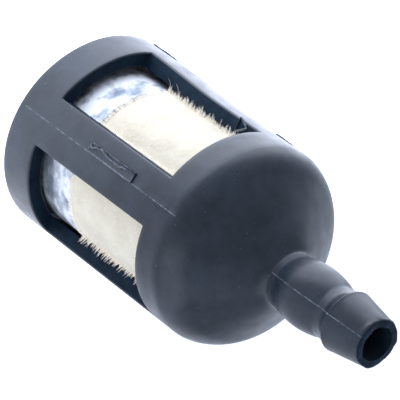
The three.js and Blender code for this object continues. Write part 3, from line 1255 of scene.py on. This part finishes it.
def soft_light(name, azimuth, elevation, distance, side, power, colour):
    """A square softbox that faces the filter from an azimuth and elevation in degrees."""
    data = bpy.data.lights.new(name, "AREA")
    data.size = side
    data.energy = power
    data.color = colour[:3]
    light = bpy.data.objects.new(name, data)
    bpy.context.collection.objects.link(light)
    way = toward(math.radians(azimuth), math.radians(elevation))
    light.location = way * distance + Vector((0, 0, CAGE_HIGH.z / 2))
    light.rotation_euler = way.to_track_quat("Z", "Y").to_euler()


def sweep_with_painted_glow(settings):
    """Matte white acrylic sweep with painted light: its emission glows round the filter and more off to
    a side.
    """
    material, tree, place = new_material("white_sweep_with_painted_glow")
    # Each pool of painted light: its centre and radii in millimetres, its turn in degrees, and its
    # ramp's stops.
    pools = (
        ((-14, -10), (50, 50), 0, [(0.0, grey(0.2)), (0.32, grey(0.47))]),
        ((70, -72), (120, 62), -46, [(0.0, grey(0)), (0.25, grey(2.6))]),
    )
    strengths = []
    for (x, y), (long, wide), turn, stops in pools:
        mapping = {
            "vector_type": "TEXTURE",
            "Location": (x * MM, y * MM, 0),
            "Rotation": (0, 0, math.radians(turn)),
            "Scale": (long * MM, wide * MM, 1),
        }
        pool = node(tree, MAPPING, mapping, {"Vector": place})
        ball = {"gradient_type": "SPHERICAL"}
        fade = node(tree, "ShaderNodeTexGradient", ball, {"Vector": pool}).outputs["Fac"]
        strengths.append(node(tree, RAMP, {"stops": stops}, {"Fac": fade}))
    glow = node(tree, "ShaderNodeMath", {"operation": "ADD"}, dict(enumerate(strengths)))
    values = {
        "Base Color": settings.floor_paint,
        "Roughness": 0.9,
        "Emission Color": settings.floor_glow,
    }
    shader = node(tree, PRINCIPLED, values, {"Emission Strength": glow})
    node(tree, OUTPUT, links={"Surface": shader})
    return material


class FILTER_OT_stage(bpy.types.Operator):
    """Set the pale floor with its painted glow, the soft lights and the camera"""

    bl_idname = "filter.stage"
    bl_label = "Stage"

    def execute(self, context):
        settings = context.scene.stage_settings
        bpy.ops.object.select_all(action="DESELECT")
        bpy.ops.mesh.primitive_plane_add(size=settings.floor)
        floor = context.object
        floor.name = "pale_floor"
        dress(floor, sweep_with_painted_glow(settings))

        world = bpy.data.worlds.new("studio")
        context.scene.world = world
        world.use_nodes = True
        background = world.node_tree.nodes["Background"]
        background.inputs["Color"].default_value = settings.air
        background.inputs["Strength"].default_value = 0.55

        paint = settings.softbox
        soft_light("rear_softbox", -132, 38, distance=0.3, side=0.4, power=0.62, colour=paint)
        soft_light("side_softbox", 108, 8, distance=0.35, side=0.45, power=0.75, colour=paint)

        camera_data = bpy.data.cameras.new("camera")
        camera_data.lens = settings.lens
        camera_data.sensor_width = 36
        camera_data.clip_start = 0.01
        camera = bpy.data.objects.new("camera", camera_data)
        context.collection.objects.link(camera)
        back = toward(settings.azimuth, settings.elevation)
        camera.location = Vector(settings.aim) + back * settings.distance
        upright = (-back).to_track_quat("-Z", "Y")
        camera.rotation_mode = "QUATERNION"
        camera.rotation_quaternion = upright @ Quaternion((0, 0, 1), settings.roll)
        context.scene.camera = camera
        context.scene.view_settings.view_transform = "Standard"
        return {"FINISHED"}


class FILTER_PT_builder(bpy.types.Panel):
    """Sidebar panel that lists the filter's operators and sizes"""

    bl_label = "Fuel Filter"
    bl_idname = "FILTER_PT_builder"
    bl_space_type = "VIEW_3D"
    bl_region_type = "UI"
    bl_category = "Fuel Filter"

    def draw(self, context):
        column = self.layout.column()
        for operator in OPERATORS:
            column.operator(operator.bl_idname)
        for group_name in GROUPS:
            group = getattr(context.scene, group_name)
            for key in group.__annotations__:
                column.prop(group, key)


GROUPS = {
    "cage_sizes": CageSizes,
    "weight_sizes": WeightSizes,
    "felt_sizes": FeltSizes,
    "finishes": Finishes,
    "stage_settings": StageSettings,
}
OPERATORS = (
    FILTER_OT_cage,
    FILTER_OT_weight,
    FILTER_OT_felt,
    FILTER_OT_fibres,
    FILTER_OT_inside,
    FILTER_OT_stage,
)


def register():
    for group_name, group in GROUPS.items():
        bpy.utils.register_class(group)
        setattr(bpy.types.Scene, group_name, PointerProperty(type=group))
    for operator in OPERATORS:
        bpy.utils.register_class(operator)
    bpy.utils.register_class(FILTER_PT_builder)


def unregister():
    bpy.utils.unregister_class(FILTER_PT_builder)
    for operator in reversed(OPERATORS):
        bpy.utils.unregister_class(operator)
    for group_name, group in GROUPS.items():
        delattr(bpy.types.Scene, group_name)
        bpy.utils.unregister_class(group)


def main():
    register()
    bpy.ops.filter.cage()
    bpy.ops.filter.weight()
    bpy.ops.filter.felt()
    bpy.ops.filter.fibres()
    bpy.ops.filter.inside()
    bpy.ops.filter.stage()


if __name__ == "__main__":
    main()
